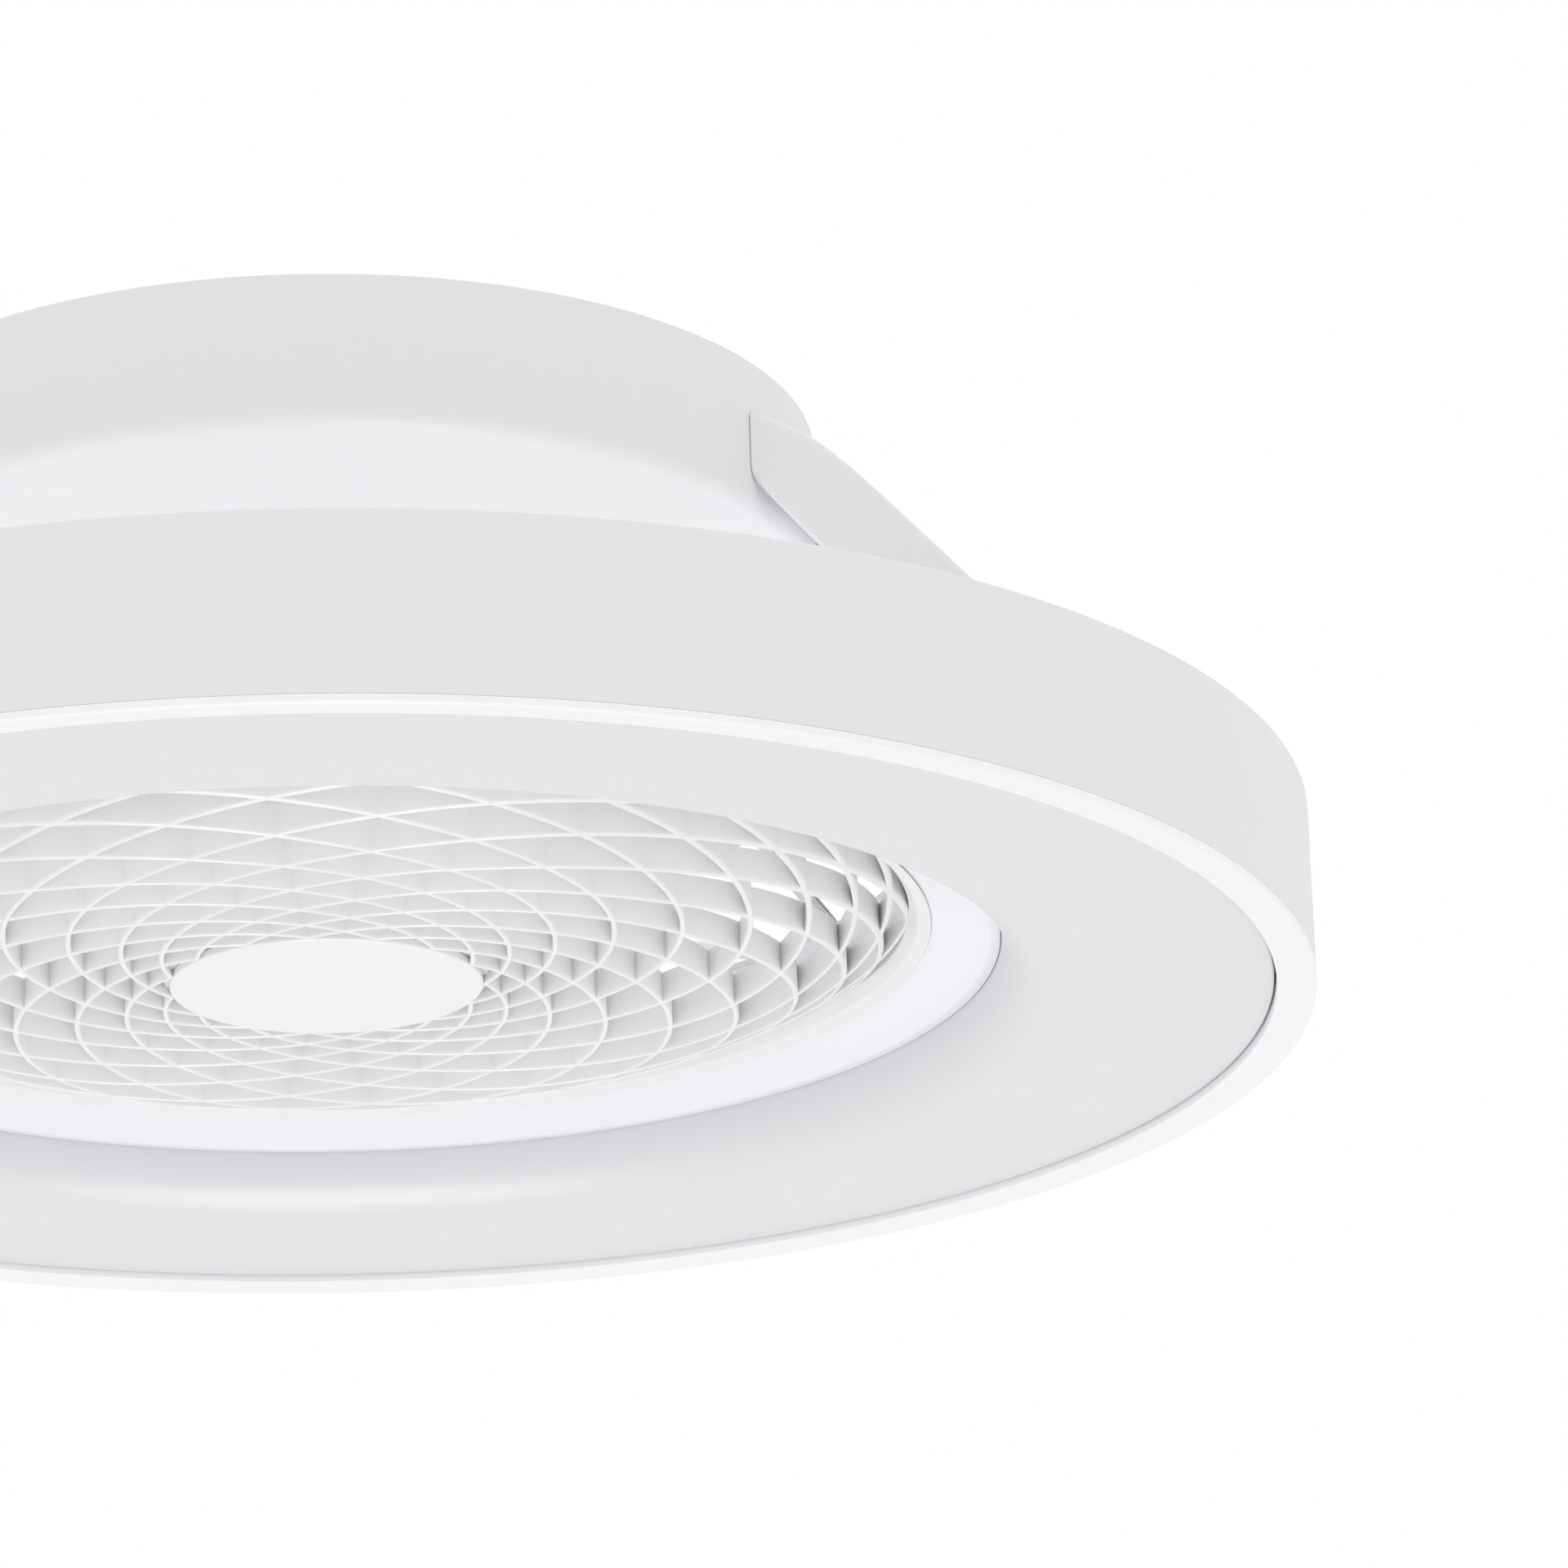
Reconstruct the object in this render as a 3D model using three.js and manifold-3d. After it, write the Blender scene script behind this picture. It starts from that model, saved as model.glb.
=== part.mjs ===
// Flush-mounted ceiling fan inside a ring lamp. A shallow drum holds the electronics on the
// ceiling, two sloping arms carry the ring lamp below it, and an axial impeller in the middle
// of the ring blows down through a domed net of crossing fins.
// Millimetres, +Z up. The origin is the centre of the ceiling plate's upper face.
import * as THREE from 'three';
import { mergeVertices } from 'three/addons/utils/BufferGeometryUtils.js';
import Module from 'manifold-3d';

const wasm = await Module();
wasm.setup();

// ---- driving dimensions ----------------------------------------------------------------
const TOTAL_HEIGHT = 201.5;        // ceiling to the lamp's lowest edge
const GAP = 0.3;                   // clearance between neighbouring pieces
const SHEET = 1.6;                 // pressed steel and thin mouldings

const LAMP_RADIUS = 325;
const LAMP_HEIGHT = 61;            // ring housing, from the lowest edge to its flat top
const RIM_WIDTH = 13;              // bright band around the lamp's lower edge
const RIM_HEIGHT = 2.8;            // what shows of it on the outer wall
const RIM_SLOPE = 1.3;             // its underside rises by this much towards the opal

const DIFFUSER_HEIGHT = 3.6;       // the opal face is sunk into the rim
const DIFFUSER_MOUTH = 222.6;      // its inner edge, above a quarter-round shoulder
const SHOULDER_ROUND = 21.6;
const OPAL_WALL = 2;

const DUCT_MOUTH = 221.6;          // flat lower lip of the air duct
const DUCT_MOUTH_HEIGHT = 24.3;
const DUCT_LIP = 3.8;
const DUCT_BEND = 5;               // the shallow cone bends up into the collar
const AIRWAY_RADIUS = 195.5;       // straight collar above the cone
const AIRWAY_HEIGHT = 32.7;

const GRILLE_RADIUS = 195.1;
const GRILLE_RING_WALL = 2.6;
const GRILLE_LOW = 16;             // flat middle of the grille
const GRILLE_FLAT = 128;           // the fins start to rise beyond this radius
const GRILLE_RISE = 20.1;
const FIN_DEPTH = 10.5;
const FIN_WIDTH = 1.9;
const FIN_SPOKES = 30;             // fifteen left-hand and fifteen right-hand fins
const FIN_STEPS = 16;              // crossings along one fin
const FIN_INNER = 52;
const FIN_OUTER = 193;
const CAP_RADIUS = 51.6;

const CANOPY_RADIUS = 166;
const CANOPY_HEIGHT = 51.5;
const CANOPY_ROUND = 6;

const ARM_HALF_WIDTH = 89.8;
const ARM_ROUND = 3;
const ARM_WALL = 2.5;              // the arms are channels, open towards the drum and the fan
const ARM_FOOT_PAD = 9;
const ARM_DEPTH_LINE = 299.2;      // reach plus height along an arm's lower edges
const WIRE_HOLE = 5;

const GUARD_TOP = 100;             // upper intake guard, height above the lowest edge
const GUARD_RIBS = 6;
const MOTOR_RADIUS = 44;
const HUB_RADIUS = 58;
const HUB_LOW = 53;
const BLADES = 7;
const BLADE_TIP = 184;
const BLADE_LEVEL = 68;

const RING_FACETS = 40;
const DRUM_FACETS = 36;
const SMALL_FACETS = 16;

// Heights are measured up from the lamp's lowest edge, so z comes from the ceiling down.
const level = (height) => height - TOTAL_HEIGHT;

// ---- materials -------------------------------------------------------------------------
const material = (color, roughness, metalness = 0) =>
  new THREE.MeshStandardMaterial({ color, roughness, metalness });
const LACQUER = material('#e4e4e6', 0.55);
const RIM_WHITE = material('#f8f8fa', 0.35);
const OPAL = material('#e9e9ec', 0.6);
const GLOSS_WHITE = material('#f4f6f9', 0.25);
const FIN_WHITE = material('#f2f3f3', 0.45);
const BLADE_WHITE = material('#e8e8e8', 0.5);
const ZINC = material('#b9bcc0', 0.4, 0.9);
const STEEL = material('#9a9da1', 0.3, 1);
const LAMINATION = material('#6f7479', 0.5, 0.8);
const COPPER = material('#b87440', 0.4, 0.9);
const MAGNET = material('#3b3d40', 0.5, 0.4);
const BOARD = material('#f0f0ea', 0.5);
const CASE_WHITE = material('#dcdcd8', 0.6);
const TERMINAL = material('#d8d6cc', 0.6);

// ---- making and joining solids -----------------------------------------------------------
function solidOf(geometry) {
  const bare = geometry.index ? geometry.toNonIndexed() : geometry.clone();
  bare.deleteAttribute('normal');
  bare.deleteAttribute('uv');
  const merged = mergeVertices(bare, 1e-4);
  const vertProperties = new Float32Array(merged.attributes.position.array);
  const triVerts = new Uint32Array(merged.index.array);
  return new wasm.Manifold(new wasm.Mesh({ numProp: 3, vertProperties, triVerts }));
}

function geometryOf(solid) {
  const mesh = solid.getMesh();
  const geometry = new THREE.BufferGeometry();
  geometry.setAttribute('position', new THREE.BufferAttribute(new Float32Array(mesh.vertProperties), 3));
  geometry.setIndex(new THREE.BufferAttribute(new Uint32Array(mesh.triVerts), 1));
  return geometry;
}

const joined = (...geometries) => geometryOf(geometries.map(solidOf).reduce((sum, next) => sum.add(next)));
const cut = (geometry, ...tools) =>
  geometryOf(tools.map(solidOf).reduce((rest, tool) => rest.subtract(tool), solidOf(geometry)));

// A ring or cup: the closed profile of [radius, height] pairs turned about the vertical axis.
function revolve(profile, facets = RING_FACETS) {
  const points = profile.map(([radius, height]) => new THREE.Vector2(radius, level(height)));
  const area = points.reduce((sum, p, i) => sum + p.cross(points[(i + 1) % points.length]), 0);
  if (area < 0) points.reverse();
  points.push(points[0].clone());
  return new THREE.LatheGeometry(points, facets).rotateX(Math.PI / 2);
}

// Points of a round corner in a profile, from one angle to another in degrees.
function arc(centreR, centreH, radius, from, to, steps) {
  return Array.from({ length: steps + 1 }, (_, i) => {
    const angle = THREE.MathUtils.degToRad(from + ((to - from) * i) / steps);
    return [centreR + radius * Math.cos(angle), centreH + radius * Math.sin(angle)];
  });
}

function disc(radius, low, high, facets = SMALL_FACETS) {
  const geometry = new THREE.CylinderGeometry(radius, radius, high - low, facets);
  return geometry.rotateX(Math.PI / 2).translate(0, 0, level((low + high) / 2));
}

function block(width, depth, low, high) {
  return new THREE.BoxGeometry(width, depth, high - low).translate(0, 0, level((low + high) / 2));
}

// A flat outline in the X-height plane, given a thickness along Y and centred on Y = 0. Its
// edges can be rounded within the outline, and the whole outline can be drawn in.
function sidePlate(outline, thickness, round = 0, inset = 0) {
  const shape = new THREE.Shape(outline.map(([x, height]) => new THREE.Vector2(x, level(height))));
  const geometry = new THREE.ExtrudeGeometry(shape, {
    depth: thickness - 2 * round,
    bevelEnabled: round > 0,
    bevelThickness: round,
    bevelSize: round,
    bevelOffset: -round - inset,
    bevelSegments: 2,
  });
  return geometry.rotateX(Math.PI / 2).translate(0, thickness / 2 - round, 0);
}

const spoke = (geometry, index, count, offset = 0) =>
  geometry.clone().rotateZ(((index + offset) * 2 * Math.PI) / count);

const fan = new THREE.Group();
function addPart(name, geometry, finish) {
  const mesh = new THREE.Mesh(geometry, finish);
  mesh.name = name;
  fan.add(mesh);
}

// ---- ceiling plate: pressed steel disc with a cable hole, four slots and two hanging legs -----
const PLATE_RADIUS = 135;
const LEG_REACH = 110;
const CEILING = TOTAL_HEIGHT;
const CANOPY_FLOOR = CEILING - CANOPY_HEIGHT;

function ceilingPlate() {
  const outline = new THREE.Shape().absarc(0, 0, PLATE_RADIUS, 0, 2 * Math.PI, false);
  outline.holes.push(new THREE.Path().absarc(-48, 0, 17, 0, 2 * Math.PI, true));
  const plate = new THREE.ExtrudeGeometry(outline, { depth: 2, bevelEnabled: false, curveSegments: 14 });
  plate.translate(0, 0, level(CEILING - 2));
  const legs = [1, -1].map((side) => {
    const top = CEILING - 1;
    const foot = CANOPY_FLOOR + SHEET + GAP;
    const bend = [[96, top], [96, foot], [120, foot], [120, foot + 2], [98, foot + 2], [98, top]];
    return sidePlate(bend, 26).rotateZ(side > 0 ? 0 : Math.PI);
  });
  const slotEnds = [106, 122].map((reach) => disc(3, CEILING - 4, CEILING + 2, 8).translate(reach, 0, 0));
  const slot = joined(block(16, 6, CEILING - 4, CEILING + 2).translate(114, 0, 0), ...slotEnds);
  const slots = Array.from({ length: 4 }, (_, i) => spoke(slot, i, 4, 0.5));
  return cut(joined(plate, ...legs), ...legHoles(), ...slots);
}

const legHoles = () =>
  [1, -1].map((side) => disc(2.6, CANOPY_FLOOR - 2, CANOPY_FLOOR + 8, 8).translate(side * LEG_REACH, 0, 0));
addPart('ceiling_plate', ceilingPlate(), ZINC);

// ---- canopy: spun steel drum, open at the ceiling, with a soft lower edge ------------------
function canopyShell() {
  const low = CANOPY_FLOOR;
  const top = CEILING - 0.6;
  const edge = CANOPY_RADIUS - CANOPY_ROUND;
  const drum = revolve([
    [12, low], ...arc(edge, low + CANOPY_ROUND, CANOPY_ROUND, -90, 0, 3), [CANOPY_RADIUS, top],
    [CANOPY_RADIUS - SHEET, top], ...arc(edge, low + CANOPY_ROUND, CANOPY_ROUND - SHEET, 0, -90, 1),
    [12, low + SHEET],
  ], DRUM_FACETS);
  const wirePassage = new THREE.CylinderGeometry(WIRE_HOLE, WIRE_HOLE, 2 * CANOPY_RADIUS + 10, 8);
  wirePassage.rotateZ(Math.PI / 2).translate(0, 0, level(low + 8.5));
  return cut(drum, ...legHoles(), wirePassage);
}
addPart('canopy_shell', canopyShell(), LACQUER);

// A headed screw standing on its axis: a domed head below the seat and a shank above it.
function screw(seat, headRadius, headHeight, shankRadius, reach) {
  return revolve([
    [0, seat - headHeight], [headRadius * 0.8, seat - headHeight], [headRadius, seat],
    [shankRadius, seat], [shankRadius, seat + reach], [0, seat + reach],
  ], 8);
}
const canopyScrew = (side) => screw(CANOPY_FLOOR - GAP, 4.6, 2.4, 2.2, 10).translate(side * LEG_REACH, 0, 0);
addPart('canopy_screw_right', canopyScrew(1), STEEL);
addPart('canopy_screw_left', canopyScrew(-1), STEEL);

// ---- electronics hanging under the ceiling plate -----------------------------------------
function electronicsCase(width, depth, height, ear) {
  const top = CEILING - 2 - GAP;
  const corner = 4;
  const outline = new THREE.Shape();
  outline.absarc(width / 2 - corner, depth / 2 - corner, corner, 0, Math.PI / 2, false);
  outline.absarc(-width / 2 + corner, depth / 2 - corner, corner, Math.PI / 2, Math.PI, false);
  outline.absarc(-width / 2 + corner, -depth / 2 + corner, corner, Math.PI, (3 * Math.PI) / 2, false);
  outline.absarc(width / 2 - corner, -depth / 2 + corner, corner, (3 * Math.PI) / 2, 2 * Math.PI, false);
  const body = new THREE.ExtrudeGeometry(outline, { depth: height, bevelEnabled: false, curveSegments: 3 });
  body.translate(0, 0, level(top - height));
  const flange = block(width + 2 * ear, depth * 0.5, top - 2, top);
  return joined(body, flange);
}
addPart('led_driver', electronicsCase(124, 44, 27, 9).translate(0, 62, 0), CASE_WHITE);
addPart('fan_controller', electronicsCase(96, 42, 24, 9).translate(0, -62, 0), CASE_WHITE);

function terminalBlock() {
  const top = CEILING - 2 - GAP;
  const wells = [-11, 0, 11].map((x) => disc(2.8, top - 18, top - 6, 8).translate(x, 0, 0));
  return cut(block(36, 18, top - 17, top), ...wells);
}
addPart('terminal_block', terminalBlock().rotateZ(Math.PI / 2).translate(66, 0, 0), TERMINAL);

// ---- arms: broad sloping channels from the drum's side wall to the lamp's flat top ----------
const BOLT_REACH = 245;
const BOLT_SPREAD = 52;
// Outer face of an arm from the drum to the lamp: it leaves the drum flatter than it lands.
const ARM_OUTER_LINE = [
  [120, 190.2], [140, 182.1], [150, 178], [160, 172.5], [169.2, 164.9], [181.5, 152.7],
  [191.6, 142.2], [207.7, 125], [236, 94.6], [264, 61.3], [272, 51.8],
];
function arm(side) {
  const foot = LAMP_HEIGHT + GAP;
  const shift = ARM_WALL / Math.SQRT2;
  const innerLine = ARM_OUTER_LINE.map(([x, height]) => [x - shift, height - shift]);
  const beam = sidePlate([...ARM_OUTER_LINE, [230, 40], [100, 120]], 2 * ARM_HALF_WIDTH, ARM_ROUND);
  const lowerEdge = [[139.8, 161.5], [140.5, 159], [141.9, 157.1], [145.8, ARM_DEPTH_LINE - 145.8]];
  const under = sidePlate([...lowerEdge, [ARM_DEPTH_LINE - 30, 30], [90, 30], [90, 161.5]], 300);
  const channel = sidePlate([...innerLine, [230, 20], [80, 120]], 2 * (ARM_HALF_WIDTH - ARM_WALL), 1);
  const drumFlange = disc(CANOPY_RADIUS + GAP + ARM_WALL, 164.5, 230, 2 * RING_FACETS);
  const hollow = cut(channel, block(900, 900, 0, foot + ARM_FOOT_PAD), drumFlange);
  const drum = disc(CANOPY_RADIUS + GAP, 90, 230, 2 * RING_FACETS);
  const lampTop = block(900, 900, 0, foot);
  const holes = [-BOLT_SPREAD, 0, BOLT_SPREAD].map((y) =>
    disc(y ? 3.2 : WIRE_HOLE, foot - 1, foot + 14, 8).translate(BOLT_REACH, y, 0));
  const bracket = cut(beam, hollow, under, drum, lampTop, ...holes);
  return side > 0 ? bracket : bracket.rotateZ(Math.PI);
}
addPart('arm_right', arm(1), LACQUER);
addPart('arm_left', arm(-1), LACQUER);

// Flanged bolts come up through the lamp's top plate into the arm's foot.
const armBolt = (x, y) => screw(LAMP_HEIGHT - SHEET - GAP, 7, 3, 2.9, 12).translate(x, y, 0);
const boltPlaces = { right_front: [1, -1], right_back: [1, 1], left_front: [-1, -1], left_back: [-1, 1] };
for (const [place, [sideX, sideY]] of Object.entries(boltPlaces)) {
  addPart(`arm_bolt_${place}`, armBolt(sideX * BOLT_REACH, sideY * BOLT_SPREAD), STEEL);
}

// ---- ring lamp -------------------------------------------------------------------------
// Pressed tray: straight outer wall, flat top and a short turned-down inner edge.
function ringHousing() {
  const top = LAMP_HEIGHT;
  const wallFoot = RIM_HEIGHT + GAP;
  const innerEdge = AIRWAY_RADIUS + SHEET + GAP;
  const tray = revolve([
    [LAMP_RADIUS, wallFoot], ...arc(LAMP_RADIUS - 3, top - 3, 3, 0, 90, 2),
    [innerEdge, top], [innerEdge, top - 9], [innerEdge + SHEET, top - 9],
    [innerEdge + SHEET, top - SHEET], [LAMP_RADIUS - SHEET, top - SHEET], [LAMP_RADIUS - SHEET, wallFoot],
  ]);
  const boltHoles = Object.values(boltPlaces).map(([sideX, sideY]) =>
    disc(3.2, top - 3, top + 1, 8).translate(sideX * BOLT_REACH, sideY * BOLT_SPREAD, 0));
  const wireHoles = [1, -1].map((side) =>
    disc(WIRE_HOLE, top - 3, top + 1, 8).translate(side * BOLT_REACH, 0, 0));
  return cut(tray, ...boltHoles, ...wireHoles);
}
addPart('ring_housing', ringHousing(), LACQUER);

// Moulded rim: a flat band with a soft outer corner. One upstand hooks it inside the housing's
// wall and the other frames the opal.
function rimTrim() {
  const inner = LAMP_RADIUS - RIM_WIDTH;
  const hook = LAMP_RADIUS - SHEET - GAP;
  return revolve([
    [inner, 8], [inner, RIM_SLOPE], [LAMP_RADIUS - 1.2, 0], [LAMP_RADIUS, 1.2], [LAMP_RADIUS, RIM_HEIGHT],
    [hook, RIM_HEIGHT], [hook, 8], [hook - SHEET, 8], [hook - SHEET, 2.2],
    [inner + SHEET, RIM_SLOPE + 1.8], [inner + SHEET, 8],
  ]);
}
addPart('rim_trim', rimTrim(), RIM_WHITE);

// Opal diffuser: a flat ring whose inner part turns up in a quarter-round shoulder and ends in a
// short straight edge behind the duct's lip.
function diffuser() {
  const outer = LAMP_RADIUS - RIM_WIDTH - 0.8;
  const bead = LAMP_RADIUS - RIM_WIDTH - GAP;
  const centreR = DIFFUSER_MOUTH + SHOULDER_ROUND;
  const centreH = DIFFUSER_HEIGHT + SHOULDER_ROUND;
  return revolve([
    [bead, 11], [bead, 6], [outer, DIFFUSER_HEIGHT],
    ...arc(centreR, centreH, SHOULDER_ROUND, -90, -180, 4),
    [DIFFUSER_MOUTH, centreH + 2], [DIFFUSER_MOUTH + OPAL_WALL, centreH + 2],
    ...arc(centreR, centreH, SHOULDER_ROUND - OPAL_WALL, -180, -90, 2),
    [outer - OPAL_WALL, DIFFUSER_HEIGHT + OPAL_WALL], [outer - OPAL_WALL, 11],
  ]);
}
addPart('diffuser', diffuser(), OPAL);

// Air duct: flat lip, shallow cone, soft bend and straight collar with a flange on the lamp's top.
function airDuct() {
  const top = LAMP_HEIGHT + GAP;
  const wall = AIRWAY_RADIUS + SHEET;
  const coneStart = DUCT_MOUTH - DUCT_LIP;
  const coneAngle = Math.atan2(AIRWAY_HEIGHT - DUCT_MOUTH_HEIGHT, coneStart - AIRWAY_RADIUS);
  const reach = DUCT_BEND * Math.tan(Math.PI / 4 - coneAngle / 2);
  const bendFrom = 270 - THREE.MathUtils.radToDeg(coneAngle);
  const bend = arc(AIRWAY_RADIUS + DUCT_BEND, AIRWAY_HEIGHT + reach, DUCT_BEND, bendFrom, 180, 3);
  return revolve([
    ...bend.reverse(), [coneStart, DUCT_MOUTH_HEIGHT], [DUCT_MOUTH, DUCT_MOUTH_HEIGHT],
    [DUCT_MOUTH, DUCT_MOUTH_HEIGHT + 2], [coneStart, DUCT_MOUTH_HEIGHT + 2], [wall, AIRWAY_HEIGHT + 2.6],
    [wall, top], [wall + 11, top], [wall + 11, top + SHEET], [AIRWAY_RADIUS, top + SHEET],
  ]);
}
addPart('air_duct', airDuct(), GLOSS_WHITE);

// Four aluminium lamp boards screwed flat under the lamp's top.
const BOARDS = 4;
function ledBoard() {
  const half = Math.PI / BOARDS - 0.03;
  const outline = new THREE.Shape();
  outline.absarc(0, 0, 304, -half, half, false);
  outline.absarc(0, 0, 268, half, -half, true);
  const top = LAMP_HEIGHT - SHEET - GAP;
  const plate = new THREE.ExtrudeGeometry(outline, { depth: 1.6, bevelEnabled: false, curveSegments: 5 });
  return plate.translate(0, 0, level(top - 1.6));
}
for (let i = 0; i < BOARDS; i++) {
  addPart(`led_board_${i + 1}`, spoke(ledBoard(), i, BOARDS, 0.5), BOARD);
}

// ---- grille: one moulding of crossing fins, a rounded outer ring and a hub plate --------------
// Radius of a fin after a share of its run: slow at both ends and quicker in between.
function finRadius(share) {
  const turns = 2 * Math.PI * share;
  const eased = share - (0.388 * Math.sin(turns) - 0.0095 * Math.sin(2 * turns)) / (2 * Math.PI);
  return FIN_INNER + (FIN_OUTER - FIN_INNER) * (eased + 0.101 * share * (1 - share));
}
// The underside is flat in the middle and curves up towards the outer ring.
function grilleUnderside(radius) {
  const climb = Math.max(radius - GRILLE_FLAT, 0) / (FIN_OUTER - GRILLE_FLAT);
  return GRILLE_LOW + GRILLE_RISE * climb ** 2;
}

// The net is one closed surface. Left-hand and right-hand fins cross on the spokes, and each
// crossing is a small upright lozenge: its four corners are joined to those of its neighbours.
function finNet() {
  const positions = [];
  const triangles = [];
  const crossings = new Map();
  const spokeAngle = (2 * Math.PI) / FIN_SPOKES;

  function addCrossing(step, spokeIndex) {
    const radius = finRadius(step / FIN_STEPS);
    const nearby = finRadius((step + 0.5) / FIN_STEPS) - finRadius((step - 0.5) / FIN_STEPS);
    const slant = Math.atan2(radius * spokeAngle, nearby);
    const along = FIN_WIDTH / 2 / Math.sin(slant);
    const across = FIN_WIDTH / 2 / Math.cos(slant);
    const angle = spokeIndex * spokeAngle;
    const out = new THREE.Vector2(Math.cos(angle), Math.sin(angle));
    const side = new THREE.Vector2(-out.y, out.x);
    const inset = step === 0 ? 0 : along;
    const corners = [[-inset, 0], [0, across], [along, 0], [0, -across]].map(([u, v]) => {
      const point = out.clone().multiplyScalar(radius + u).addScaledVector(side, v);
      const low = level(grilleUnderside(point.length()));
      positions.push(point.x, point.y, low, point.x, point.y, low + FIN_DEPTH);
      return positions.length / 3 - 2;
    });
    const [inner, left, outer, right] = corners;
    crossings.set(`${step},${spokeIndex}`, { inner, left, outer, right });
  }

  const quad = (a, b, c, d) => triangles.push(a, b, c, a, c, d);
  const wall = (a, b) => quad(a, b, b + 1, a + 1);
  // A stretch of fin from the edge (a, b) of one crossing to the edge (c, d) of the next.
  function addStretch(a, b, c, d) {
    quad(b, a, c, d);
    quad(a + 1, b + 1, d + 1, c + 1);
    wall(c, a);
    wall(b, d);
  }
  const wrap = (index) => (index + FIN_SPOKES) % FIN_SPOKES;

  for (let step = 0; step <= FIN_STEPS; step++) {
    for (let s = step % 2; s < FIN_SPOKES; s += 2) addCrossing(step, s);
  }
  for (let step = 0; step <= FIN_STEPS; step++) {
    for (let s = step % 2; s < FIN_SPOKES; s += 2) {
      const here = crossings.get(`${step},${s}`);
      quad(here.inner, here.left, here.outer, here.right);
      quad(here.right + 1, here.outer + 1, here.left + 1, here.inner + 1);
      if (step === 0) {
        wall(here.left, here.inner);
        wall(here.inner, here.right);
      }
      if (step === FIN_STEPS) {
        wall(here.outer, here.left);
        wall(here.right, here.outer);
        continue;
      }
      const onLeft = crossings.get(`${step + 1},${wrap(s + 1)}`);
      const onRight = crossings.get(`${step + 1},${wrap(s - 1)}`);
      addStretch(here.left, here.outer, onLeft.inner, onLeft.right);
      addStretch(here.outer, here.right, onRight.left, onRight.inner);
    }
  }
  const net = new THREE.BufferGeometry();
  net.setAttribute('position', new THREE.BufferAttribute(new Float32Array(positions), 3));
  net.setIndex(triangles);
  return net;
}

function grille() {
  const inner = GRILLE_RADIUS - GRILLE_RING_WALL;
  const low = grilleUnderside(FIN_OUTER) - 0.6;
  const high = low + FIN_DEPTH + 1;
  const round = GRILLE_RING_WALL / 2;
  const ring = revolve([
    ...arc(inner + round, low + round, round, 180, 360, 2), [GRILLE_RADIUS, high], [inner, high],
  ]);
  const hub = disc(CAP_RADIUS + 2, GRILLE_LOW + 2.8, GRILLE_LOW + FIN_DEPTH - 1, FIN_SPOKES);
  return joined(finNet(), ring, hub);
}
addPart('grille', grille(), FIN_WHITE);

// Round cap that snaps over the grille's hub plate from below.
const capTop = GRILLE_LOW + 2.5;
addPart('grille_cap', revolve([
  [0, GRILLE_LOW - 0.3], [CAP_RADIUS - 0.8, GRILLE_LOW - 0.3], [CAP_RADIUS, GRILLE_LOW + 0.5],
  [CAP_RADIUS, capTop], [0, capTop],
], FIN_SPOKES), FIN_WHITE);

// ---- intake guard: the motor's plate, six ribs out to a hoop, and six posts on a seat ring ------
const GUARD_LOW = GUARD_TOP - 4;
const GUARD_SEAT = LAMP_HEIGHT + GAP + SHEET + GAP;
const GUARD_BAR = 5;
const PLATE_REACH = 64;
const HOOP_INNER = 168;
const HOOP_OUTER = 174;
const barRing = (inner, outer, low, high) =>
  revolve([[inner, low], [outer, low], [outer, high], [inner, high]], DRUM_FACETS);
const motorPlate = disc(PLATE_REACH, GUARD_LOW - 0.4, GUARD_TOP + 0.4, 24);
addPart('guard_plate', cut(motorPlate, disc(6, GUARD_LOW - 5, GUARD_TOP + 5, 8)), LACQUER);
addPart('guard_hoop', barRing(HOOP_INNER, HOOP_OUTER, GUARD_LOW, GUARD_TOP), LACQUER);
addPart('guard_seat', barRing(197.5, 207.5, GUARD_SEAT, GUARD_SEAT + 3), LACQUER);

const ribStart = PLATE_REACH + 0.4;
const ribEnd = HOOP_INNER - 0.6;
const guardRib = block(ribEnd - ribStart, GUARD_BAR, GUARD_LOW, GUARD_TOP);
guardRib.translate((ribStart + ribEnd) / 2, 0, 0);
const guardPost = sidePlate([
  [199, GUARD_SEAT + 3 + GAP], [205, GUARD_SEAT + 3 + GAP],
  [HOOP_OUTER, GUARD_LOW - GAP], [HOOP_INNER, GUARD_LOW - GAP],
], GUARD_BAR);
for (let i = 0; i < GUARD_RIBS; i++) {
  addPart(`guard_rib_${i + 1}`, spoke(guardRib, i, GUARD_RIBS, 0.5), LACQUER);
  addPart(`guard_post_${i + 1}`, spoke(guardPost, i, GUARD_RIBS, 0.5), LACQUER);
}

// ---- motor: can, end bell, stator and bearings stand still ----------------------------------
const MOTOR_TOP = GUARD_TOP - 4.4 - GAP;
const MOTOR_LOW = 70;
const MOTOR_BORE = MOTOR_RADIUS - SHEET;
const SHAFT_RADIUS = 4;
const BEARING_RADIUS = 11;
const MOTOR_FACETS = 18;
const canFoot = MOTOR_LOW + 2 + GAP;
addPart('motor_can', revolve([
  [6, MOTOR_TOP], [MOTOR_RADIUS - 3, MOTOR_TOP], [MOTOR_RADIUS, MOTOR_TOP - 3], [MOTOR_RADIUS, canFoot],
  [MOTOR_BORE, canFoot], [MOTOR_BORE, MOTOR_TOP - 3.6], [MOTOR_BORE - 2, MOTOR_TOP - SHEET],
  [6, MOTOR_TOP - SHEET],
], MOTOR_FACETS), ZINC);
const bearingPocket = BEARING_RADIUS + GAP;
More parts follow.
